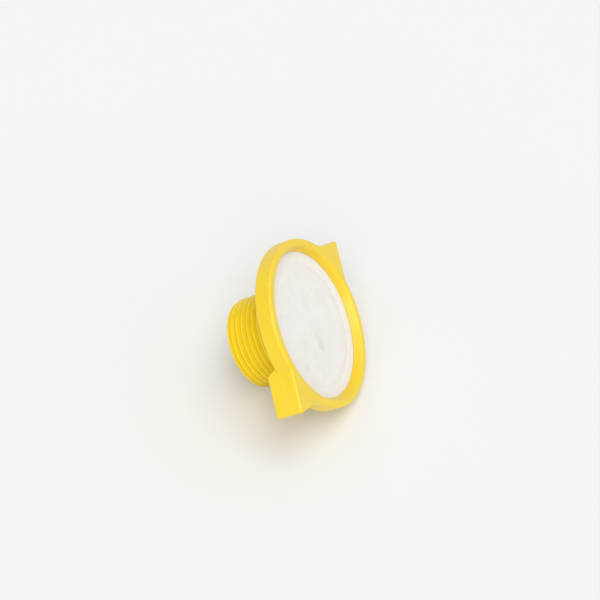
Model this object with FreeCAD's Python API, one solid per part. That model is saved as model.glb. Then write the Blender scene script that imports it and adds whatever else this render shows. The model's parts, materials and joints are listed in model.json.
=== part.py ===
import FreeCAD, Part
import math
import os

# Pneumatic muffler with a G 3/4 stem: one moulded body that holds a coarse pad, a perforated
# screen and a felt disc.  Everything is modelled upright, with the stem's end at z = 0 and
# the open front at the top, and is then laid on its side, resting on the head's back edge
# and on the end of the thread.  Depths are measured down from the front face.  Millimetres.

# Head: a short round cup with two finger wings
head_radius = 25.0
head_edge_round = 0.8
front_edge_round = 0.7
head_back_slope = math.radians(24.5)   # angle of the conical back to a flat plane
edge_floor = 0.8               # from the felt's seat to the end of the rounded back edge
floor_thickness = 1.86         # from the pocket's floor to the shoulder that meets the port
shoulder_width = 3.28          # from the thread's crest to the collar's outside
shoulder_edge = 0.4
face_gap = 0.4                 # from the thread's crest to the raised face that meets the port
face_step = 0.3                # how far that face stands out around the stem

# Mouth and the stepped pocket behind it
rim_wall = 2.3
mouth_edge_round = 0.4
mouth_draft = 0.45             # the mouth narrows by this much on the way down to the lip
lip_height = 0.6
lip_length = 1.2                # sloped lead-in, then a short straight land
lip_land = 0.2
lip_grip = 0.2                 # how far the lip reaches over the felt's edge
felt_recess = 2.5

# Filter stack
felt_thickness = 2.0
felt_margin = 3.45             # from the felt's edge to the middle of its pressed groove
felt_groove_width = 1.0
felt_groove_depth = 0.18
felt_edge_round = 0.25
screen_ledge = 1.45            # width of the seat that holds the felt's edge
screen_thickness = 0.5
screen_hole_radius = 0.8
screen_hole_pitch = 2.6
screen_margin = 1.4
pad_thickness = 1.5
collar_wall = 2.05
side_clearance = 0.15          # between each layer and its pocket wall
layer_clearance = 0.02         # between layers, and between the lip and the felt

# Ribs that carry the pad clear of the floor
rib_count = 8
rib_width = 1.2
rib_floor_gap = 0.8            # air space between the pad and the floor
spider_bars = 4
spider_setback = 0.1           # the bars end this far short of the straight bore
hub_radius = 2.6

# Wings, each the other turned half a turn about the axis
wing_face_inset = 3.55         # flat push face inside the cup's outside radius
wing_tip_rise = 0.2            # how much farther than the cup the tip reaches along that face
wing_slope = math.radians(15.0)
wing_tip_round = 0.9
wing_root_round = 1.0          # where the flat face meets the cup
wing_sweep_radius = 14.0       # hollow side, tangent to the cup
wing_overhang = 3.0            # how far the wing stands behind the cup's back edge
wing_back_round = 0.5
wing_inner_inset = 0.9         # inner side of the wing at the cup's back edge
wing_inner_draft = math.radians(17.0)
wing_tab_width = 7.45

# Stem: G 3/4 parallel pipe thread, 55 degree form
thread_major_radius = 26.441 / 2
thread_pitch = 1.814
thread_depth = 1.162
thread_half_angle = math.radians(27.5)
thread_length = 14.4
thread_end_chamfer = 0.5
relief_width = 2.0
relief_extra = 0.1
bore_radius = 9.0
bore_edge_round = 0.8

# How it lies
resting_roll = 42.8            # degrees about the axis, which leaves the wings nearly level

# Tool bodies run this far past what they cut, and joined bodies this far into each other
cut_margin = 1.0
join_overlap = 0.3

# Sizes that follow from the ones above
mouth_radius = head_radius - rim_wall
lip_radius = mouth_radius - mouth_draft - lip_height
felt_radius = lip_radius + lip_grip
felt_groove_radius = felt_radius - felt_margin
screen_radius = felt_radius - screen_ledge
collar_radius = thread_major_radius + shoulder_width
face_inner_radius = thread_major_radius + face_gap
pad_radius = collar_radius - collar_wall - side_clearance
felt_pocket_radius = felt_radius + side_clearance
screen_pocket_radius = screen_radius + side_clearance
pad_pocket_radius = pad_radius + side_clearance
lip_depth = felt_recess - layer_clearance
felt_seat_depth = felt_recess + felt_thickness
screen_seat_depth = felt_seat_depth + screen_thickness + layer_clearance
pad_seat_depth = screen_seat_depth + pad_thickness + layer_clearance
floor_depth = pad_seat_depth + rib_floor_gap
spider_depth = rib_floor_gap + bore_edge_round - spider_setback
head_edge_depth = felt_seat_depth + edge_floor
collar_depth = floor_depth + floor_thickness
overall_length = collar_depth + thread_length
stem_root_depth = collar_depth - face_step
edge_centre_radius = head_radius - head_edge_round
edge_centre_depth = head_edge_depth - head_edge_round
wing_face_offset = head_radius - wing_face_inset
wing_tip_height = head_radius + wing_tip_rise
wing_inner_radius = head_radius - wing_inner_inset
wing_tab_start = wing_face_offset - wing_tab_width
wing_depth = head_edge_depth + wing_overhang
thread_minor_radius = thread_major_radius - thread_depth
groove_half_width_at_root = (thread_pitch / 2 - thread_depth * math.tan(thread_half_angle)) / 2
groove_half_width_at_crest = groove_half_width_at_root + thread_depth * math.tan(thread_half_angle)


def at_depth(depth):
    return overall_length - depth


def point(radius, depth):
    return FreeCAD.Vector(radius, 0, at_depth(depth))


def flat_point(x, y, depth=0.0):
    return FreeCAD.Vector(x, y, at_depth(depth))


def on_circle(centre, radius, angle):
    return centre + FreeCAD.Vector(radius * math.cos(angle), 0, -radius * math.sin(angle))


def wire_from(items):
    """A closed wire from points and arc middle points: a tuple is the middle of an arc."""
    edges = []
    count = len(items)
    index = 0
    while index < count:
        start = items[index]
        following = items[(index + 1) % count]
        if isinstance(following, tuple):
            end = items[(index + 2) % count]
            edges.append(Part.Arc(start, following[0], end).toShape())
            index += 2
        else:
            edges.append(Part.LineSegment(start, following).toShape())
            index += 1
    return Part.Wire(edges)


def revolved(items):
    face = Part.Face(wire_from(items))
    return face.revolve(FreeCAD.Vector(0, 0, 0), FreeCAD.Vector(0, 0, 1), 360)


def cylinder(radius, top_depth, bottom_depth):
    height = bottom_depth - top_depth
    return Part.makeCylinder(radius, height, FreeCAD.Vector(0, 0, at_depth(bottom_depth)))


def turned(shape, degrees):
    copy = shape.copy()
    copy.rotate(FreeCAD.Vector(0, 0, 0), FreeCAD.Vector(0, 0, 1), degrees)
    return copy


def rounded_root(depth):
    """Where a wing's flat face meets the cup in a small hollow round."""
    centre_x = wing_face_offset + wing_root_round
    reach = head_radius + wing_root_round
    centre_y = math.sqrt(reach ** 2 - centre_x ** 2)
    share = head_radius / reach
    middle_angle = math.pi + math.atan2(centre_y, centre_x) / 2
    middle = flat_point(
        centre_x + wing_root_round * math.cos(middle_angle),
        centre_y + wing_root_round * math.sin(middle_angle),
        depth,
    )
    on_cup = flat_point(centre_x * share, centre_y * share, depth)
    return [on_cup, (middle,), flat_point(wing_face_offset, centre_y, depth)]


def plain_root(depth):
    """The flat face run on inwards, to be cut off by the wing's inner side."""
    inner_end = math.sqrt(wing_inner_radius ** 2 - wing_face_offset ** 2) - cut_margin
    return [flat_point(wing_face_offset, inner_end, depth)]


def wing_outline(depth, root):
    """One wing seen from the front, closed by a chord that lies inside the cup."""
    along_x = math.cos(wing_slope)
    along_y = math.sin(wing_slope)
    tip_angle = (math.pi / 2 + wing_slope) / 2
    tip_reach = wing_tip_round / math.tan((math.pi / 2 - wing_slope) / 2)
    tip_on_face = flat_point(wing_face_offset, wing_tip_height - tip_reach, depth)
    tip_on_slope = flat_point(
        wing_face_offset - tip_reach * along_x, wing_tip_height - tip_reach * along_y, depth
    )
    tip_centre_x = wing_face_offset - wing_tip_round
    tip_centre_y = wing_tip_height - tip_reach
    tip_middle = flat_point(
        tip_centre_x + wing_tip_round * math.cos(tip_angle),
        tip_centre_y + wing_tip_round * math.sin(tip_angle),
        depth,
    )

    height = -wing_face_offset * along_y + wing_tip_height * along_x + wing_sweep_radius
    reach = math.sqrt((head_radius + wing_sweep_radius) ** 2 - height ** 2)
    sweep_x = -height * along_y + reach * along_x
    sweep_y = height * along_x + reach * along_y
    sweep_on_slope = flat_point(
        sweep_x + wing_sweep_radius * along_y, sweep_y - wing_sweep_radius * along_x, depth
    )
    share = head_radius / (head_radius + wing_sweep_radius)
    sweep_on_cup = flat_point(sweep_x * share, sweep_y * share, depth)
    start_angle = math.atan2(-along_x, along_y)
    end_angle = math.atan2(-sweep_y, -sweep_x)
    middle_angle = (start_angle + end_angle) / 2
    sweep_middle = flat_point(
        sweep_x + wing_sweep_radius * math.cos(middle_angle),
        sweep_y + wing_sweep_radius * math.sin(middle_angle),
        depth,
    )
    return wire_from(root + [
        tip_on_face, (tip_middle,), tip_on_slope,
        sweep_on_slope, (sweep_middle,), sweep_on_cup,
    ])


def head_front():
    """Cup and wings down to the cup's rounded back edge, with the front outline rounded."""
    outline_depth = edge_centre_depth
    plate = cylinder(head_radius, 0, outline_depth)
    face = Part.Face(wing_outline(outline_depth, rounded_root(outline_depth)))
    wing = face.extrude(FreeCAD.Vector(0, 0, outline_depth))
    plate = plate.fuse([wing, turned(wing, 180)]).removeSplitter()
    front_edges = []
    for edge in plate.Edges:
        if edge.BoundBox.ZMin > at_depth(0) - 0.001:
            front_edges.append(edge)
    return plate.makeFillet(front_edge_round, front_edges)


def head_back():
    """Rounded back edge, conical back and the collar with the raised face that meets the port."""
    centre = point(edge_centre_radius, edge_centre_depth)
    cone_angle = math.pi / 2 - head_back_slope
    cone_start = on_circle(centre, head_edge_round, cone_angle)
    round_middle = on_circle(centre, head_edge_round, cone_angle / 2)
    cone_start_depth = edge_centre_depth + head_edge_round * math.sin(cone_angle)
    cone_run = cone_start.x - collar_radius
    collar_top = cone_start_depth + cone_run * math.tan(head_back_slope)
    return revolved([
        point(0, edge_centre_depth),
        point(head_radius, edge_centre_depth), (round_middle,), cone_start,
        point(collar_radius, collar_top),
        point(collar_radius, collar_depth - shoulder_edge),
        point(collar_radius - shoulder_edge, collar_depth),
        point(face_inner_radius, collar_depth),
        point(face_inner_radius, stem_root_depth),
        point(0, stem_root_depth),
    ])


def wing_tab():
    """The part of a wing that stands behind the cup's back edge, clear of the stem."""
    length = wing_depth - edge_centre_depth
    face = Part.Face(wing_outline(wing_depth, plain_root(wing_depth)))
    tab = face.extrude(FreeCAD.Vector(0, 0, length))
    back_radius = wing_inner_radius + length * math.tan(wing_inner_draft)
    inner = Part.makeCone(
        back_radius, wing_inner_radius, length, FreeCAD.Vector(0, 0, at_depth(wing_depth))
    )
    tab = tab.cut(inner)
    beside = Part.makeBox(
        4 * head_radius, 4 * head_radius, 4 * head_radius,
        FreeCAD.Vector(wing_tab_start - 4 * head_radius, -2 * head_radius, -head_radius),
    )
    tab = tab.cut(beside)
    back_edges = []
    for edge in tab.Edges:
        if edge.BoundBox.ZMax < at_depth(wing_depth) + 0.001:
            back_edges.append(edge)
    return tab.makeFillet(wing_back_round, back_edges)


def pocket():
    """Mouth, retaining lip and the stepped pocket for the felt, the screen and the pad."""
    above = -cut_margin
    edge_centre = point(mouth_radius + mouth_edge_round, mouth_edge_round)
    edge_top = edge_centre + FreeCAD.Vector(0, 0, mouth_edge_round)
    edge_side = edge_centre - FreeCAD.Vector(mouth_edge_round, 0, 0)
    quarter = mouth_edge_round * math.sqrt(0.5)
    edge_middle = edge_centre + FreeCAD.Vector(-quarter, 0, quarter)
    return revolved([
        point(0, above),
        point(mouth_radius + mouth_edge_round, above),
        edge_top, (edge_middle,), edge_side,
        point(mouth_radius - mouth_draft, lip_depth - lip_length),
        point(lip_radius, lip_depth - lip_land),
        point(lip_radius, lip_depth),
        point(felt_pocket_radius, lip_depth),
        point(felt_pocket_radius, felt_seat_depth),
        point(screen_pocket_radius, felt_seat_depth),
        point(screen_pocket_radius, screen_seat_depth),
        point(pad_pocket_radius, screen_seat_depth),
        point(pad_pocket_radius, floor_depth),
        point(0, floor_depth),
    ])


def bore():
    """Air passage through the stem, rounded where it opens into the pocket."""
    start = floor_depth - cut_margin / 2
    end = overall_length + cut_margin
    centre = point(bore_radius + bore_edge_round, floor_depth + bore_edge_round)
    quarter = bore_edge_round * math.sqrt(0.5)
    middle = centre + FreeCAD.Vector(-quarter, 0, quarter)
    return revolved([
        point(0, start),
        point(bore_radius + bore_edge_round, start),
        centre + FreeCAD.Vector(0, 0, bore_edge_round), (middle,),
        centre - FreeCAD.Vector(bore_edge_round, 0, 0),
        point(bore_radius, overall_length - bore_edge_round),
        point(bore_radius + bore_edge_round, overall_length),
        point(bore_radius + bore_edge_round, end),
        point(0, end),
    ])


def ribs():
    """Radial ribs on the floor; four of them run on across the bore to a hub."""
    short_length = pad_pocket_radius - bore_radius
    pieces = []
    for index in range(rib_count):
        rib = Part.makeBox(
            short_length, rib_width, rib_floor_gap + join_overlap,
            FreeCAD.Vector(
                bore_radius + join_overlap, -rib_width / 2, at_depth(floor_depth + join_overlap)
            ),
        )
        pieces.append(turned(rib, index * 360.0 / rib_count))
    for index in range(spider_bars):
        bar = Part.makeBox(
            bore_radius + bore_edge_round + join_overlap, rib_width, spider_depth,
            FreeCAD.Vector(0, -rib_width / 2, at_depth(pad_seat_depth + spider_depth)),
        )
        pieces.append(turned(bar, index * 360.0 / spider_bars))
    pieces.append(cylinder(hub_radius, pad_seat_depth, pad_seat_depth + spider_depth))
    return pieces


def stem():
    """Threaded stem with its end chamfer and the relief by the shoulder."""
    relief_radius = thread_minor_radius - relief_extra
    relief_end = collar_depth + relief_width
    relief_flank = (thread_major_radius - relief_radius) * math.tan(thread_half_angle) * 1.5
    blank = revolved([
        point(0, stem_root_depth - join_overlap),
        point(relief_radius, stem_root_depth - join_overlap),
        point(relief_radius, relief_end - relief_flank),
        point(thread_major_radius, relief_end),
        point(thread_major_radius, overall_length - thread_end_chamfer),
        point(thread_major_radius - thread_end_chamfer, overall_length),
        point(0, overall_length),
    ])
    return blank.cut(thread_grooves())


def thread_grooves():
    """The helical V groove as single turns, which together run past the stem's end.

    They are turned so that a crest, not the groove, meets the end chamfer on the resting side.
    """
    overshoot = 0.15
    run_past = 1.5 * thread_pitch
    length = run_past + thread_length - relief_width / 2
    outer_radius = thread_major_radius + overshoot
    outer_half = groove_half_width_at_crest + overshoot * math.tan(thread_half_angle)
    profile = Part.makePolygon([
        FreeCAD.Vector(thread_minor_radius, 0, -groove_half_width_at_root),
        FreeCAD.Vector(outer_radius, 0, -outer_half),
        FreeCAD.Vector(outer_radius, 0, outer_half),
        FreeCAD.Vector(thread_minor_radius, 0, groove_half_width_at_root),
        FreeCAD.Vector(thread_minor_radius, 0, -groove_half_width_at_root),
    ])
    helix = Part.makeHelix(thread_pitch, thread_pitch, thread_minor_radius)
    sweep = Part.BRepOffsetAPI.MakePipeShell(Part.Wire(helix.Edges))
    sweep.setBiNormalMode(FreeCAD.Vector(0, 0, 1))
    sweep.add(profile)
    sweep.build()
    sweep.makeSolid()
    crest_flat = thread_pitch - 2 * groove_half_width_at_crest
    groove_above_contact = thread_end_chamfer + crest_flat / 2 + thread_pitch / 2
    turns_to_contact = (groove_above_contact + run_past) / thread_pitch
    one_turn = turned(sweep.shape(), -resting_roll - 360.0 * turns_to_contact)
    grooves = []
    for index in range(math.ceil(length / thread_pitch)):
        groove = one_turn.copy()
        groove.translate(FreeCAD.Vector(0, 0, index * thread_pitch - run_past))
        grooves.append(groove)
    return grooves


def muffler_body():
    body = head_front().fuse([head_back(), stem()])
    tab = wing_tab()
    body = body.fuse([tab, turned(tab, 180)])
    body = body.cut([pocket(), bore()])
    return body.fuse(ribs()).removeSplitter()


def felt_disc():
    """Felt disc with a shallow groove pressed into its face near the edge."""
    top = felt_recess
    bottom = felt_seat_depth - layer_clearance
    centre = point(felt_radius - felt_edge_round, top + felt_edge_round)
    quarter = felt_edge_round * math.sqrt(0.5)
    middle = centre + FreeCAD.Vector(quarter, 0, quarter)
    half = felt_groove_width / 2
    return revolved([
        point(0, top),
        point(felt_groove_radius - half, top),
        (point(felt_groove_radius, top + felt_groove_depth),),
        point(felt_groove_radius + half, top),
        centre + FreeCAD.Vector(0, 0, felt_edge_round), (middle,),
        centre + FreeCAD.Vector(felt_edge_round, 0, 0),
        point(felt_radius, bottom),
        point(0, bottom),
    ])


def support_screen():
    """Thin perforated disc behind the felt, its holes on a triangular grid."""
    top = felt_seat_depth
    bottom = felt_seat_depth + screen_thickness
    disc = cylinder(screen_radius, top, bottom)
    reach = screen_radius - screen_margin - screen_hole_radius
    row_step = screen_hole_pitch * math.sqrt(3) / 2
    rows = int(reach / row_step)
    columns = int(reach / screen_hole_pitch) + 1
    holes = []
    for row in range(-rows, rows + 1):
        shift = screen_hole_pitch / 2 * (row % 2)
        for column in range(-columns, columns + 1):
            x = column * screen_hole_pitch + shift
            y = row * row_step
            if math.hypot(x, y) <= reach:
                hole = Part.makeCylinder(
                    screen_hole_radius, screen_thickness + 2 * cut_margin,
                    FreeCAD.Vector(x, y, at_depth(bottom + cut_margin)),
                )
                holes.append(hole)
    return disc.cut(holes)


def absorber_pad():
    """Coarse pad between the ribs and the screen."""
    return cylinder(pad_radius, screen_seat_depth, pad_seat_depth - layer_clearance)


def resting_tilt():
    """Angle of the axis above the ground when the back edge and the thread both touch it."""
    across = edge_centre_radius - thread_major_radius
    along = overall_length - thread_end_chamfer - edge_centre_depth
    return math.acos(-head_edge_round / math.hypot(across, along)) - math.atan2(along, across)


def lay_down(shapes):
    """Roll, tilt and set every piece on the ground, centred over the origin."""
    lying = {}
    lean = 90.0 - math.degrees(resting_tilt())
    for name, shape in shapes.items():
        piece = turned(shape.Solids[0], resting_roll)
        piece.rotate(FreeCAD.Vector(0, 0, 0), FreeCAD.Vector(0, 1, 0), lean)
        lying[name] = piece
    box = Part.makeCompound(list(lying.values())).optimalBoundingBox(False, False)
    shift = FreeCAD.Vector(-(box.XMin + box.XMax) / 2, -(box.YMin + box.YMax) / 2, -box.ZMin)
    for piece in lying.values():
        piece.translate(shift)
    return lying, shift


def main():
    os.makedirs("parts", exist_ok=True)
    upright = {
        "muffler_body": muffler_body(),
        "felt_disc": felt_disc(),
        "support_screen": support_screen(),
        "absorber_pad": absorber_pad(),
    }
    lying, shift = lay_down(upright)
    for name, piece in lying.items():
        piece.exportStep(os.path.join("parts", name + ".step"))
        box = piece.optimalBoundingBox(False, False)
        corners = (box.XMin, box.XMax, box.YMin, box.YMax, box.ZMin, box.ZMax)
        print(name, piece.ShapeType, piece.isValid(), round(piece.Volume, 2))
        print("   box", [round(value, 3) for value in corners])
    print("tilt", round(math.degrees(resting_tilt()), 3), "shift", [round(v, 4) for v in shift])


main()
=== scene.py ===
import json
import math

import bmesh
import bpy
from mathutils import Matrix, Vector, noise


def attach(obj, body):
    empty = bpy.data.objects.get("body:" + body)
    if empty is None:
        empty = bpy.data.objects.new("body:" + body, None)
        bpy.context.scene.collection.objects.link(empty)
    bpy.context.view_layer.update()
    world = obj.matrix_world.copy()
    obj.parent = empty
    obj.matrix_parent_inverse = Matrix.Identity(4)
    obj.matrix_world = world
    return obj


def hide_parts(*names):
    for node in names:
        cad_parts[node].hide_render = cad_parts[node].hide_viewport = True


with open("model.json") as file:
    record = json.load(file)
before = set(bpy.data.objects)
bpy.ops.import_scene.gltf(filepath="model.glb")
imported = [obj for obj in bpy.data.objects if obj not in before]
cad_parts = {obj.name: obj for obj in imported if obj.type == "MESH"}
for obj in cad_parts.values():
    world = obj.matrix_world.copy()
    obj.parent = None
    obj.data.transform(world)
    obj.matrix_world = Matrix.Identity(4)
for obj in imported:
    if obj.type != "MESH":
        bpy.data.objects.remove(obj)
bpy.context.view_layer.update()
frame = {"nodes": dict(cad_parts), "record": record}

# Where the muffler lies. A piece made here is drawn in millimetres, with the middle of the open
# front face at the origin and the muffler's axis along +Z, and one matrix puts it in its place.
mountByName = {mount["name"]: mount for mount in frame["record"]["mounts"]}
boreMount = mountByName["stem_bore"]
boreMiddleDepth = 15.47  # front face to the middle of the straight bore
axisOut = -Vector(boreMount["axis"]).normalized()
faceCentre = Vector(boreMount["pos_m"]) + axisOut * boreMiddleDepth / 1000
acrossDirection = Vector((0, 1, 0))
slopeDirection = acrossDirection.cross(axisOut).normalized()
turnMatrix = Matrix((slopeDirection, acrossDirection, axisOut)).transposed().to_4x4()
placeMatrix = Matrix.Translation(faceCentre) @ turnMatrix @ Matrix.Scale(0.001, 4)
print("frame loaded, front face centre", [round(value, 5) for value in faceCentre])


# Camera

cameraValues = {
    "azimuth": 10.18,
    "elevation": 45.89,
    "distance": 0.3848,
    "faceRight": 0.00582,  # how far right of the view's middle the front face centre sits
    "faceBelow": 0.00627,
    "lens": 81.19,
    "sensor": 36,
    "clip": (0.01, 20),
}


def makeCamera(values):
    azimuth = math.radians(values["azimuth"])
    elevation = math.radians(values["elevation"])
    level = math.cos(elevation)
    back = Vector((math.sin(azimuth) * level, -math.cos(azimuth) * level, math.sin(elevation)))
    right = Vector((math.cos(azimuth), math.sin(azimuth), 0))
    upward = back.cross(right)
    data = bpy.data.cameras.new("camera")
    data.lens = values["lens"]
    data.sensor_width = values["sensor"]
    data.clip_start, data.clip_end = values["clip"]
    camera = bpy.data.objects.new("camera", data)
    bpy.context.collection.objects.link(camera)
    aim = faceCentre - right * values["faceRight"] + upward * values["faceBelow"]
    camera.location = aim + back * values["distance"]
    camera.rotation_mode = "QUATERNION"
    camera.rotation_quaternion = (-back).to_track_quat("-Z", "Y")
    bpy.context.scene.camera = camera


makeCamera(cameraValues)
bpy.context.scene.view_settings.view_transform = "Standard"
print("camera set")


# Material tools

class Field:
    # wraps a number socket, so that maths on it is written as a plain expression
    def __init__(self, shade, socket):
        self.shade = shade
        self.socket = socket

    def __add__(self, other):
        return self.shade.number("ADD", self, other)

    def __radd__(self, other):
        return self.shade.number("ADD", other, self)

    def __sub__(self, other):
        return self.shade.number("SUBTRACT", self, other)

    def __rsub__(self, other):
        return self.shade.number("SUBTRACT", other, self)

    def __mul__(self, other):
        return self.shade.number("MULTIPLY", self, other)

    def __rmul__(self, other):
        return self.shade.number("MULTIPLY", other, self)


class Shade:
    # one material under construction
    def __init__(self, name):
        self.material = bpy.data.materials.new(name)
        self.material.use_nodes = True
        self.tree = self.material.node_tree
        self.tree.nodes.clear()

    def node(self, kind, settings=None, **sockets):
        made = self.tree.nodes.new(kind)
        for key, value in (settings or {}).items():
            setattr(made, key, value)
        for key, value in sockets.items():
            self.feed(self.findSocket(made, key), value)
        return made

    def findSocket(self, made, key):
        # at0, at1 and so on name a socket by its place, other keys by its label
        if key.startswith("at"):
            return made.inputs[int(key[2:])]
        return made.inputs[key.replace("_", " ")]

    def feed(self, socket, value):
        if isinstance(value, Field):
            value = value.socket
        if isinstance(value, bpy.types.NodeSocket):
            self.tree.links.new(value, socket)
        else:
            socket.default_value = value

    def number(self, operation, first, second=0.0):
        made = self.node("ShaderNodeMath", {"operation": operation}, at0=first, at1=second)
        return Field(self, made.outputs[0])

    def vector(self, operation, first, second=(0, 0, 0), factor=1.0):
        settings = {"operation": operation}
        made = self.node("ShaderNodeVectorMath", settings, at0=first, at1=second)
        if operation == "SCALE":
            self.feed(made.inputs["Scale"], factor)
        return made.outputs["Vector"]

    def measure(self, operation, first, second=(0, 0, 0)):
        made = self.node("ShaderNodeVectorMath", {"operation": operation}, at0=first, at1=second)
        return Field(self, made.outputs["Value"])

    def step(self, value, low, high):
        # 0 below low and 1 above high, smooth in between
        settings = {"interpolation_type": "SMOOTHSTEP"}
        made = self.node("ShaderNodeMapRange", settings, at0=value, at1=low, at2=high)
        return Field(self, made.outputs[0])

    def band(self, value, middle, halfWidth):
        away = self.number("ABSOLUTE", value - middle)
        return 1 - self.step(away, 0.0, halfWidth)

    def noise(self, position, size, detail=3.0, rough=0.55, warp=0.0):
        # size is the width in millimetres of one patch
        made = self.node(
            "ShaderNodeTexNoise", Vector=position, Scale=1000 / size,
            Detail=detail, Roughness=rough, Distortion=warp,
        )
        return Field(self, made.outputs[0])

    def blend(self, factor, first, second):
        # inputs 6 and 7 and output 2 are the Mix node's colours
        made = self.node("ShaderNodeMix", {"data_type": "RGBA"}, at0=factor, at6=first, at7=second)
        return made.outputs[2]

    def bump(self, height, distance, strength, under=None):
        sockets = {"Height": height, "Distance": distance, "Strength": strength}
        if under is not None:
            sockets["Normal"] = under
        return self.node("ShaderNodeBump", **sockets).outputs["Normal"]

    def position(self):
        return self.node("ShaderNodeTexCoord").outputs["Object"]

    def stretch(self, position, scale):
        # a pattern runs longest along the axis with the smallest scale
        return self.node("ShaderNodeMapping", Vector=position, Scale=scale).outputs[0]

    def depthAndRadius(self, position):
        # millimetres behind the front face, and from the muffler's axis
        fromFace = self.vector("SUBTRACT", position, faceCentre[:])
        along = self.measure("DOT_PRODUCT", fromFace, axisOut[:])
        onAxis = self.vector("SCALE", axisOut[:], factor=along)
        radius = self.measure("LENGTH", self.vector("SUBTRACT", fromFace, onAxis))
        return along * -1000, radius * 1000

    def finish(self, fixed, **varying):
        surface = self.node("ShaderNodeBsdfPrincipled")
        for name, value in fixed.items():
            surface.inputs[name].default_value = value
        for name, value in varying.items():
            self.feed(surface.inputs[name.replace("_", " ")], value)
        self.node("ShaderNodeOutputMaterial", Surface=surface.outputs[0])
        return self.material


# Yellow moulded plastic

plasticValues = {
    "yellow": (0.862, 0.622, 0.004, 1),
    "deepYellow": (0.842, 0.594, 0.003, 1),
    "threadPaintedLight": (0.880, 0.715, 0.003, 1),
    "mouthPaintedShade": (0.840, 0.480, 0.002, 1),
    "scuffAndHighlight": (0.98, 0.830, 0.220, 1),
    "rootDustAndShade": (0.62, 0.420, 0.040, 1),
    "cloudSize": 14,
    "mottleSize": 1.8,
    "grainSize": 0.35,
    "scratchSize": 0.12,
    "scratchStretch": (1.0, 0.12, 0.6),
    # the noise levels where each of these begins and where it is complete
    "cloudLevels": (0.3, 0.7),
    "patchLevels": (0.48, 0.66),
    "dustAndShadeLevels": (0.46, 0.7),
    "scratchLevels": (0.62, 0.72),
    "edgeDepth": 0.3,  # the rounded front edges lie about this far behind the front face
    "edgeWear": 0.4,
    "crestHighlight": 0.06,
    "crestPatches": 0.08,
    "threadStart": 10.5,
    "threadFade": 0.8,
    "threadCrest": 13.1,
    "threadRoot": 12.1,
    "rootFade": 0.5,
    "stemWall": (10.5, 11.5),  # radii between the bore and the thread's roots
    "threadPaintedLightShare": 0.45,
    "mouthShadeShare": 0.35,
    "mouthRadius": 22.2,
    "mouthFade": 1.0,
    "mouthDepths": (0.2, 1.6),  # where the painted shade begins and where it is complete
    "dustAndShade": 0.16,
    "roughness": 0.46,
    "cloudRoughness": 0.16,
    "grainRoughness": 0.12,
    "wornRoughness": 0.15,
    "dustAndShadeRoughness": 0.3,
    "coat": 0.5,
    "coatWornOff": 0.3,
    # depth in metres and strength
    "grainBump": (0.00006, 0.35),
    "scratchBump": (0.00003, 0.25),
    "sagBump": (0.0006, 0.12),
}


def makePlastic(values):
    shade = Shade("yellowPlastic")
    position = shade.position()
    depth, radius = shade.depthAndRadius(position)
    cloud = shade.noise(position, values["cloudSize"], detail=2)
    mottle = shade.noise(position, values["mottleSize"], detail=4, rough=0.6)
    speckle = shade.noise(position, values["grainSize"], detail=3, rough=0.6)
    patchy = shade.step(mottle, *values["patchLevels"])

    # worn places, the rounded front edges and the crests of the thread; the crests also get an
    # even painted highlight, paler towards their tops
    edges = shade.band(depth, values["edgeDepth"], values["edgeDepth"])
    threadFull = values["threadStart"] + values["threadFade"]
    onThread = shade.step(depth, values["threadStart"], threadFull)
    crests = shade.step(radius, values["threadRoot"], values["threadCrest"]) * onThread
    crestWearAndHighlight = crests * (values["crestHighlight"] + patchy * values["crestPatches"])
    wearAndHighlight = shade.number("MINIMUM", edges * patchy * values["edgeWear"] + crestWearAndHighlight, 1.0)

    # dust in the thread's roots, with painted shade: the roots are darkened in patches
    rootTop = values["threadRoot"] + values["rootFade"]
    roots = (1 - shade.step(radius, values["threadRoot"], rootTop)) * onThread
    outside = shade.step(radius, *values["stemWall"])
    dustAndShade = roots * outside * shade.step(mottle, *values["dustAndShadeLevels"]) * values["dustAndShade"]

    clouded = shade.step(cloud, *values["cloudLevels"])
    colour = shade.blend(clouded, values["deepYellow"], values["yellow"])
    # painted light: the thread is blended toward a paler, greener yellow to cancel the orange
    # bounce light in its grooves; the moulding is one colour
    colour = shade.blend(onThread * values["threadPaintedLightShare"], colour, values["threadPaintedLight"])
    # painted shade: the inner wall of the mouth is blended toward a deeper orange, standing in for
    # the shade inside the recess
    mouthEdge = values["mouthRadius"] + values["mouthFade"]
    inside = 1 - shade.step(radius, values["mouthRadius"], mouthEdge)
    mouthShadeMask = inside * shade.step(depth, *values["mouthDepths"]) * (1 - onThread)
    colour = shade.blend(mouthShadeMask * values["mouthShadeShare"], colour, values["mouthPaintedShade"])
    # painted highlight on the thread's crests, with wear on the edges and crests: blended toward a
    # pale yellow
    colour = shade.blend(wearAndHighlight, colour, values["scuffAndHighlight"])
    # painted shade and dust in the thread's roots: blended toward a dull brown
    colour = shade.blend(dustAndShade, colour, values["rootDustAndShade"])
    roughness = values["roughness"] + (cloud - 0.5) * values["cloudRoughness"]
    roughness = roughness + (speckle - 0.5) * values["grainRoughness"]
    roughness = roughness + wearAndHighlight * values["wornRoughness"] + dustAndShade * values["dustAndShadeRoughness"]

    # hair scratches run from wing to wing, and a fine mould grain covers everything
    stretched = shade.stretch(position, values["scratchStretch"])
    scratches = shade.noise(stretched, values["scratchSize"], detail=2, rough=0.5)
    scratched = shade.step(scratches, *values["scratchLevels"])
    grain = shade.bump(speckle, *values["grainBump"])
    worn = shade.bump(scratched, *values["scratchBump"], grain)
    sag = shade.bump(cloud, *values["sagBump"], worn)
    fixed = {
        "IOR": 1.5,
        "Subsurface Weight": 0.12,
        "Subsurface Radius": (1.0, 0.75, 0.12),
        "Subsurface Scale": 0.0010,
        "Coat Roughness": 0.34,
    }
    coat = values["coat"] - wearAndHighlight * values["coatWornOff"]
    return shade.finish(
        fixed, Base_Color=colour, Roughness=roughness, Coat_Weight=coat, Normal=sag
    )


# Felt: white for the disc, darker and unmarked for the coarse pad

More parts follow.
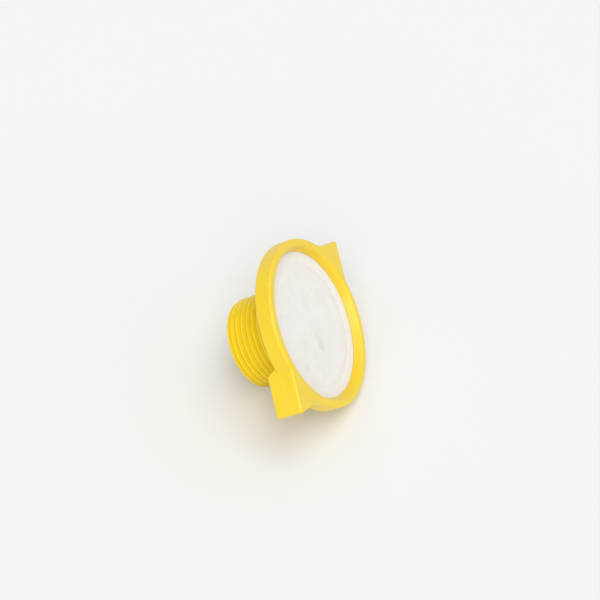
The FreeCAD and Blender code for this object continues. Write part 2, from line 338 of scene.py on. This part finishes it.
feltValues = {
    "light": (0.815, 0.801, 0.768, 1),
    "shade": (0.790, 0.773, 0.737, 1),
    "smudge": (0.47, 0.415, 0.340, 1),
    "marginBandAndBounce": (0.845, 0.815, 0.740, 1),
    "clumpSize": 3.2,
    "fuzzSize": 0.5,
    "lintSize": 0.16,
    "clumpShare": 0.6,  # of the tone, the fuzz has the rest
    "toneLevels": (0.36, 0.60),
    "fuzzShare": 0.7,  # of the nap, the lint has the rest
    "clumpBump": (0.0003, 0.05),  # depth in metres and strength
    "napBump": (0.00008, 0.20),
    "roughness": 0.88,
    "fuzzRoughness": 0.14,
    "grooveRadius": 18.4,
    "grooveHalfWidth": 0.9,
    "grooveShade": 0.55,
    "marginStart": 0.3,  # outside the groove's middle
    "marginFull": 1.0,
    "marginBandAndBounceShare": 0.45,
    "depth": 2.5,
    "wanderSize": 1.6,  # how unevenly a smudge ends
    "wander": 2.4,
    # down the slope and across it in millimetres, width, strength
    "smudges": (
        (6.4, -3.8, 2.2, 0.20),
        (5.3, -3.3, 2.4, 0.28),
        (4.2, -2.3, 2.6, 0.22),
        (2.6, -1.4, 3.4, 0.15),
        (1.8, -15.0, 2.4, 0.15),
        (-1.1, -9.2, 3.4, 0.12),
        (3.9, -8.6, 2.8, 0.13),
        (9.0, -11.0, 3.0, 0.09),
        (-6.0, 4.0, 5.0, 0.06),
    ),
}


coarseTones = {
    "light": (0.74, 0.72, 0.66, 1),
    "shade": (0.64, 0.62, 0.56, 1),
}


def makeFelt(name, values, marked):
    shade = Shade(name)
    position = shade.position()
    radius = shade.depthAndRadius(position)[1]
    clumps = shade.noise(position, values["clumpSize"], detail=3, rough=0.6)
    fuzz = shade.noise(position, values["fuzzSize"], detail=4, rough=0.65, warp=0.6)
    lint = shade.noise(position, values["lintSize"], detail=2, rough=0.6)
    tone = clumps * values["clumpShare"] + fuzz * (1 - values["clumpShare"])
    level = shade.step(tone, *values["toneLevels"])
    colour = shade.blend(level, values["shade"], values["light"])
    if marked:
        # painted bounce light on the felt's own edge band: outside the pressed ring the felt is
        # blended toward a paler, yellowish tone, as the light off the yellow wall tints it
        beyond = radius - values["grooveRadius"]
        marginBandAndBounce = shade.step(beyond, values["marginStart"], values["marginFull"])
        colour = shade.blend(marginBandAndBounce * values["marginBandAndBounceShare"], colour, values["marginBandAndBounce"])
        # painted shade: the pressed groove is blended toward the felt's darker tone
        groove = shade.band(radius, values["grooveRadius"], values["grooveHalfWidth"])
        colour = shade.blend(groove * values["grooveShade"], colour, values["shade"])
        wander = (shade.noise(position, values["wanderSize"], rough=0.6) - 0.5) * values["wander"]
        total = None
        for down, across, width, strength in values["smudges"]:
            centre = placeMatrix @ Vector((down, across, -values["depth"]))
            away = shade.measure("LENGTH", shade.vector("SUBTRACT", position, centre[:])) * 1000
            spot = (1 - shade.step(away + wander, 0.0, width)) * strength
            total = spot if total is None else shade.number("MAXIMUM", total, spot)
        colour = shade.blend(total * (0.5 + fuzz), colour, values["smudge"])
    nap = fuzz * values["fuzzShare"] + lint * (1 - values["fuzzShare"])
    soft = shade.bump(clumps, *values["clumpBump"])
    woolly = shade.bump(nap, *values["napBump"], soft)
    fixed = {"Sheen Weight": 0.25, "Sheen Roughness": 0.6, "Specular IOR Level": 0.15}
    roughness = values["roughness"] + (fuzz - 0.5) * values["fuzzRoughness"]
    return shade.finish(fixed, Base_Color=colour, Roughness=roughness, Normal=woolly)


# Perforated steel

steelValues = {
    "bright": (0.60, 0.60, 0.585, 1),
    "dull": (0.44, 0.44, 0.425, 1),
    "lineSize": 0.12,
    "lineStretch": (0.06, 1.0, 0.06),
    "cloudSize": 6,
    "toneLevels": (0.35, 0.65),
    "roughness": 0.26,
    "lineRoughness": 0.18,
    "lineBump": (0.00002, 0.3),  # depth in metres and strength
}


def makeSteel(values):
    shade = Shade("screenSteel")
    position = shade.position()
    brushed = shade.stretch(position, values["lineStretch"])
    lines = shade.noise(brushed, values["lineSize"], detail=3, rough=0.6)
    cloud = shade.noise(position, values["cloudSize"], detail=2)
    level = shade.step(lines * 0.5 + cloud * 0.5, *values["toneLevels"])
    colour = shade.blend(level, values["dull"], values["bright"])
    roughness = values["roughness"] + lines * values["lineRoughness"]
    normal = shade.bump(lines, *values["lineBump"])
    return shade.finish({"Metallic": 1.0}, Base_Color=colour, Roughness=roughness, Normal=normal)


plastic = makePlastic(plasticValues)
feltWhite = makeFelt("whiteFelt", feltValues, True)
feltCoarse = makeFelt("coarseFelt", {**feltValues, **coarseTones}, False)
steel = makeSteel(steelValues)
print("materials made")


def setMaterial(piece, material):
    piece.data.materials.clear()
    piece.data.materials.append(material)


setMaterial(frame["nodes"]["muffler_body"], plastic)
setMaterial(frame["nodes"]["support_screen"], steel)


# Needled discs: the felt at the front and the coarse pad behind it

feltDiscValues = {
    "radius": 21.85,
    "top": 2.5,
    "thickness": 1.98,
    "edgeRound": 0.25,
    "rings": 72,
    "sectors": 220,
    "lumps": 0.035,
    "grooveRadius": 18.4,
    "grooveWidth": 1.3,
    "grooveDepth": 0.2,
    "openRadius": 21.5,  # the lip covers the rest
    "bothSides": False,
    "fibresPerArea": 2.2,  # to a square millimetre
    "fibreLength": 1.5,
    "fibreThickness": 0.010,
    "fibreLift": 0.008,
    "seed": 4,
}

coarsePadValues = {
    "radius": 14.3,
    "top": 5.04,
    "thickness": 1.48,
    "edgeRound": 0.15,
    "rings": 40,
    "sectors": 140,
    "lumps": 0.06,
    "grooveRadius": 0,
    "grooveWidth": 1,
    "grooveDepth": 0,
    "openRadius": 14.0,
    "bothSides": True,
    "fibresPerArea": 2.2,
    "fibreLength": 2.6,
    "fibreThickness": 0.05,
    "fibreLift": 0.1,
    "seed": 9,
}


lumpValues = {
    "scale": 0.45,
    "softness": 0.8,
    "finer": 2.2,  # each octave is this many times finer than the one before
    "octaves": 4,
    "average": 0.6,  # shares of the lump height
    "swing": 0.6,
    "onBack": 0.5,
}


def discProfile(values):
    # radius and depth of each ring, from the middle of the front to the middle of the back
    back = values["top"] + values["thickness"]
    flat = values["radius"] - values["edgeRound"]
    profile = []
    for index in range(1, values["rings"] + 1):
        profile.append((flat * index / values["rings"], values["top"]))
    for index in range(1, 5):
        angle = math.pi / 8 * index
        profile.append((
            flat + values["edgeRound"] * math.sin(angle),
            values["top"] + values["edgeRound"] * (1 - math.cos(angle)),
        ))
    profile.append((values["radius"], back))
    for index in range(values["rings"] // 2, 0, -1):
        profile.append((flat * index / (values["rings"] // 2), back))
    return profile


def pressed(values, radius):
    # how far the pressed ring pushes the surface in at this radius
    away = abs(radius - values["grooveRadius"]) / values["grooveWidth"]
    if away >= 1 or values["grooveDepth"] == 0:
        return 0.0
    return values["grooveDepth"] * (1 + math.cos(math.pi * away)) / 2


def unevenness(x, y, seed):
    place = Vector((x * lumpValues["scale"], y * lumpValues["scale"], seed))
    softness, finer, octaves = (lumpValues[key] for key in ("softness", "finer", "octaves"))
    uneven = noise.fractal(place, softness, finer, octaves)
    return lumpValues["average"] + lumpValues["swing"] * uneven


def makeDisc(name, values):
    mesh = bpy.data.meshes.new(name)
    builder = bmesh.new()
    openLayer = builder.verts.layers.float.new("open")
    profile = discProfile(values)
    back = values["top"] + values["thickness"]
    middleDepth = (values["top"] + back) / 2
    rings = []
    for radius, depth in profile:
        ring = []
        for sector in range(values["sectors"]):
            angle = 2 * math.pi * sector / values["sectors"]
            x = radius * math.cos(angle)
            y = radius * math.sin(angle)
            lump = values["lumps"] * unevenness(x, y, values["seed"])
            inward = max(lump + pressed(values, radius), 0.0)
            onFront = depth < middleDepth
            moved = depth + inward if onFront else depth - inward * lumpValues["onBack"]
            vert = builder.verts.new((x, y, -moved))
            shown = onFront or values["bothSides"]
            vert[openLayer] = 1.0 if shown and radius < values["openRadius"] else 0.0
            ring.append(vert)
        rings.append(ring)
    frontDepth = values["top"] + values["lumps"] * lumpValues["average"]
    front = builder.verts.new((0, 0, -frontDepth))
    rear = builder.verts.new((0, 0, -back))
    front[openLayer] = 1.0
    count = values["sectors"]
    for sector in range(count):
        following = (sector + 1) % count
        builder.faces.new((front, rings[0][sector], rings[0][following]))
        builder.faces.new((rear, rings[-1][following], rings[-1][sector]))
        for inner, outer in zip(rings, rings[1:]):
            builder.faces.new((inner[sector], outer[sector], outer[following], inner[following]))
    bmesh.ops.recalc_face_normals(builder, faces=builder.faces)
    bmesh.ops.transform(builder, matrix=placeMatrix, verts=builder.verts)
    builder.to_mesh(mesh)
    builder.free()
    mesh.polygons.foreach_set("use_smooth", [True] * len(mesh.polygons))
    piece = bpy.data.objects.new(name, mesh)
    bpy.context.collection.objects.link(piece)
    return piece


fibreValues = {
    "bow": 0.42,  # of the fibre's length
    "tilt": 0.08,  # radians either way
    "smallest": 0.5,
    "largest": 1.3,
    "segments": 4,
    "sides": 3,
}


def fibreTree(values):
    # scatters short bent fibres over the open part of a surface
    tree = bpy.data.node_groups.new("layFibres", "GeometryNodeTree")
    face = tree.interface
    face.new_socket("Geometry", in_out="INPUT", socket_type="NodeSocketGeometry")
    for label in ("Density", "Length", "Thickness", "Lift"):
        face.new_socket(label, in_out="INPUT", socket_type="NodeSocketFloat")
    face.new_socket("Seed", in_out="INPUT", socket_type="NodeSocketInt")
    face.new_socket("Material", in_out="INPUT", socket_type="NodeSocketMaterial")
    face.new_socket("Geometry", in_out="OUTPUT", socket_type="NodeSocketGeometry")
    nodes = tree.nodes
    link = tree.links.new
    given = nodes.new("NodeGroupInput").outputs
    result = nodes.new("NodeGroupOutput")

    shown = nodes.new("GeometryNodeInputNamedAttribute")
    shown.data_type = "FLOAT"
    shown.inputs["Name"].default_value = "open"
    density = nodes.new("ShaderNodeMath")
    density.operation = "MULTIPLY"
    link(given["Density"], density.inputs[0])
    link(shown.outputs["Attribute"], density.inputs[1])
    scatter = nodes.new("GeometryNodeDistributePointsOnFaces")
    link(given["Geometry"], scatter.inputs["Mesh"])
    link(density.outputs[0], scatter.inputs["Density"])
    link(given["Seed"], scatter.inputs["Seed"])

    middle = nodes.new("ShaderNodeCombineXYZ")
    bend = nodes.new("ShaderNodeMath")
    bend.operation = "MULTIPLY"
    bend.inputs[1].default_value = values["bow"]
    link(given["Length"], bend.inputs[0])
    link(bend.outputs[0], middle.inputs["Y"])
    link(given["Lift"], middle.inputs["Z"])
    half = nodes.new("ShaderNodeMath")
    half.operation = "MULTIPLY"
    half.inputs[1].default_value = 0.5
    link(given["Length"], half.inputs[0])
    ends = []
    for sign in (-1, 1):
        signed = nodes.new("ShaderNodeMath")
        signed.operation = "MULTIPLY"
        signed.inputs[1].default_value = sign
        link(half.outputs[0], signed.inputs[0])
        end = nodes.new("ShaderNodeCombineXYZ")
        link(signed.outputs[0], end.inputs["X"])
        ends.append(end.outputs[0])
    curve = nodes.new("GeometryNodeCurveQuadraticBezier")
    curve.inputs["Resolution"].default_value = values["segments"]
    link(ends[0], curve.inputs["Start"])
    link(middle.outputs[0], curve.inputs["Middle"])
    link(ends[1], curve.inputs["End"])
    section = nodes.new("GeometryNodeCurvePrimitiveCircle")
    section.inputs["Resolution"].default_value = values["sides"]
    link(given["Thickness"], section.inputs["Radius"])
    fibre = nodes.new("GeometryNodeCurveToMesh")
    fibre.inputs["Fill Caps"].default_value = True
    link(curve.outputs[0], fibre.inputs["Curve"])
    link(section.outputs[0], fibre.inputs["Profile Curve"])

    spin = nodes.new("FunctionNodeRandomValue")
    spin.data_type = "FLOAT_VECTOR"
    spin.inputs[0].default_value = (-values["tilt"], -values["tilt"], 0)
    spin.inputs[1].default_value = (values["tilt"], values["tilt"], 2 * math.pi)
    link(given["Seed"], spin.inputs["Seed"])
    turn = nodes.new("FunctionNodeRotateRotation")
    turn.rotation_space = "LOCAL"
    link(scatter.outputs["Rotation"], turn.inputs["Rotation"])
    link(spin.outputs[0], turn.inputs["Rotate By"])
    grow = nodes.new("FunctionNodeRandomValue")
    grow.data_type = "FLOAT"
    grow.inputs[2].default_value = values["smallest"]
    grow.inputs[3].default_value = values["largest"]
    link(given["Seed"], grow.inputs["Seed"])
    place = nodes.new("GeometryNodeInstanceOnPoints")
    link(scatter.outputs["Points"], place.inputs["Points"])
    link(fibre.outputs[0], place.inputs["Instance"])
    link(turn.outputs[0], place.inputs["Rotation"])
    link(grow.outputs[1], place.inputs["Scale"])
    join = nodes.new("GeometryNodeJoinGeometry")
    link(place.outputs[0], join.inputs[0])
    link(given["Geometry"], join.inputs[0])
    realize = nodes.new("GeometryNodeRealizeInstances")
    link(join.outputs[0], realize.inputs[0])
    cover = nodes.new("GeometryNodeSetMaterial")
    link(realize.outputs[0], cover.inputs["Geometry"])
    link(given["Material"], cover.inputs["Material"])
    link(cover.outputs[0], result.inputs[0])
    return tree


def settle(piece, tree, inputs):
    # runs the tree on the piece, and leaves the result as a plain mesh
    modifier = piece.modifiers.new("build", "NODES")
    modifier.node_group = tree
    for item in tree.interface.items_tree:
        if item.item_type == "SOCKET" and item.in_out == "INPUT" and item.name in inputs:
            modifier[item.identifier] = inputs[item.name]
    evaluated = piece.evaluated_get(bpy.context.evaluated_depsgraph_get())
    mesh = bpy.data.meshes.new_from_object(evaluated)
    piece.modifiers.clear()
    piece.data = mesh


def makeFeltPiece(name, values, material, tree):
    piece = makeDisc(name, values)
    settle(piece, tree, {
        "Density": values["fibresPerArea"] * 1e6,
        "Length": values["fibreLength"] / 1000,
        "Thickness": values["fibreThickness"] / 1000,
        "Lift": values["fibreLift"] / 1000,
        "Seed": values["seed"],
        "Material": material,
    })
    setMaterial(piece, material)
    print(name, "has", len(piece.data.polygons), "faces")
    return piece


layFibres = fibreTree(fibreValues)
feltDisc = makeFeltPiece("needledFeltDisc", feltDiscValues, feltWhite, layFibres)
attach(feltDisc, "root")
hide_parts("felt_disc")
coarsePad = makeFeltPiece("coarseFibrePad", coarsePadValues, feltCoarse, layFibres)
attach(coarsePad, "root")
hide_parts("absorber_pad")
print("felt pieces made")


# Floor and light

floorValues = {
    "size": 3.0,
    "colour": (0.800, 0.808, 0.802, 1),
    "warm": (0.803, 0.800, 0.790, 1),
    "warmShare": 0.3,
    "cloudSize": 90,
    "cloudLevels": (0.3, 0.7),
    "roughness": 0.85,
    "cloudRoughness": 0.05,
}


def makeFloor(values):
    shade = Shade("paleFloor")
    cloud = shade.noise(shade.position(), values["cloudSize"], detail=2)
    warmth = shade.step(cloud, *values["cloudLevels"]) * values["warmShare"]
    colour = shade.blend(warmth, values["colour"], values["warm"])
    roughness = values["roughness"] + cloud * values["cloudRoughness"]
    material = shade.finish({"Specular IOR Level": 0.1}, Base_Color=colour, Roughness=roughness)
    mesh = bpy.data.meshes.new("floor")
    half = values["size"] / 2
    corners = ((-half, -half, 0), (half, -half, 0), (half, half, 0), (-half, half, 0))
    mesh.from_pydata(corners, [], [(0, 1, 2, 3)])
    floor = bpy.data.objects.new("floor", mesh)
    bpy.context.collection.objects.link(floor)
    setMaterial(floor, material)


lightValues = {
    "sky": (1.0, 1.0, 0.995, 1),
    "horizon": 0.80,  # strength
    "overhead": 0.45,
    "suns": (
        # name, strength, width in degrees, where it comes from
        ("topLight", 0.88, 42, (0.20, 0.00, 0.98)),
        ("frontFill", 1.24, 38, (0.11, -0.67, 0.74)),
    ),
}


def makeLight(values):
    world = bpy.data.worlds.new("whiteRoom")
    world.use_nodes = True
    nodes = world.node_tree.nodes
    link = world.node_tree.links.new
    direction = nodes.new("ShaderNodeSeparateXYZ")
    link(nodes.new("ShaderNodeTexCoord").outputs["Generated"], direction.inputs[0])
    grade = nodes.new("ShaderNodeMapRange")  # brighter at the horizon than overhead
    grade.inputs["To Min"].default_value = values["horizon"]
    grade.inputs["To Max"].default_value = values["overhead"]
    link(direction.outputs["Z"], grade.inputs["Value"])
    link(grade.outputs[0], nodes["Background"].inputs["Strength"])
    nodes["Background"].inputs["Color"].default_value = values["sky"]
    bpy.context.scene.world = world
    for name, strength, width, source in values["suns"]:
        data = bpy.data.lights.new(name, "SUN")
        data.energy = strength
        data.angle = math.radians(width)
        lamp = bpy.data.objects.new(name, data)
        lamp.location = source
        lamp.rotation_mode = "QUATERNION"
        lamp.rotation_quaternion = Vector(source).to_track_quat("Z", "Y")
        bpy.context.collection.objects.link(lamp)


makeFloor(floorValues)
makeLight(lightValues)
print("floor and light made")
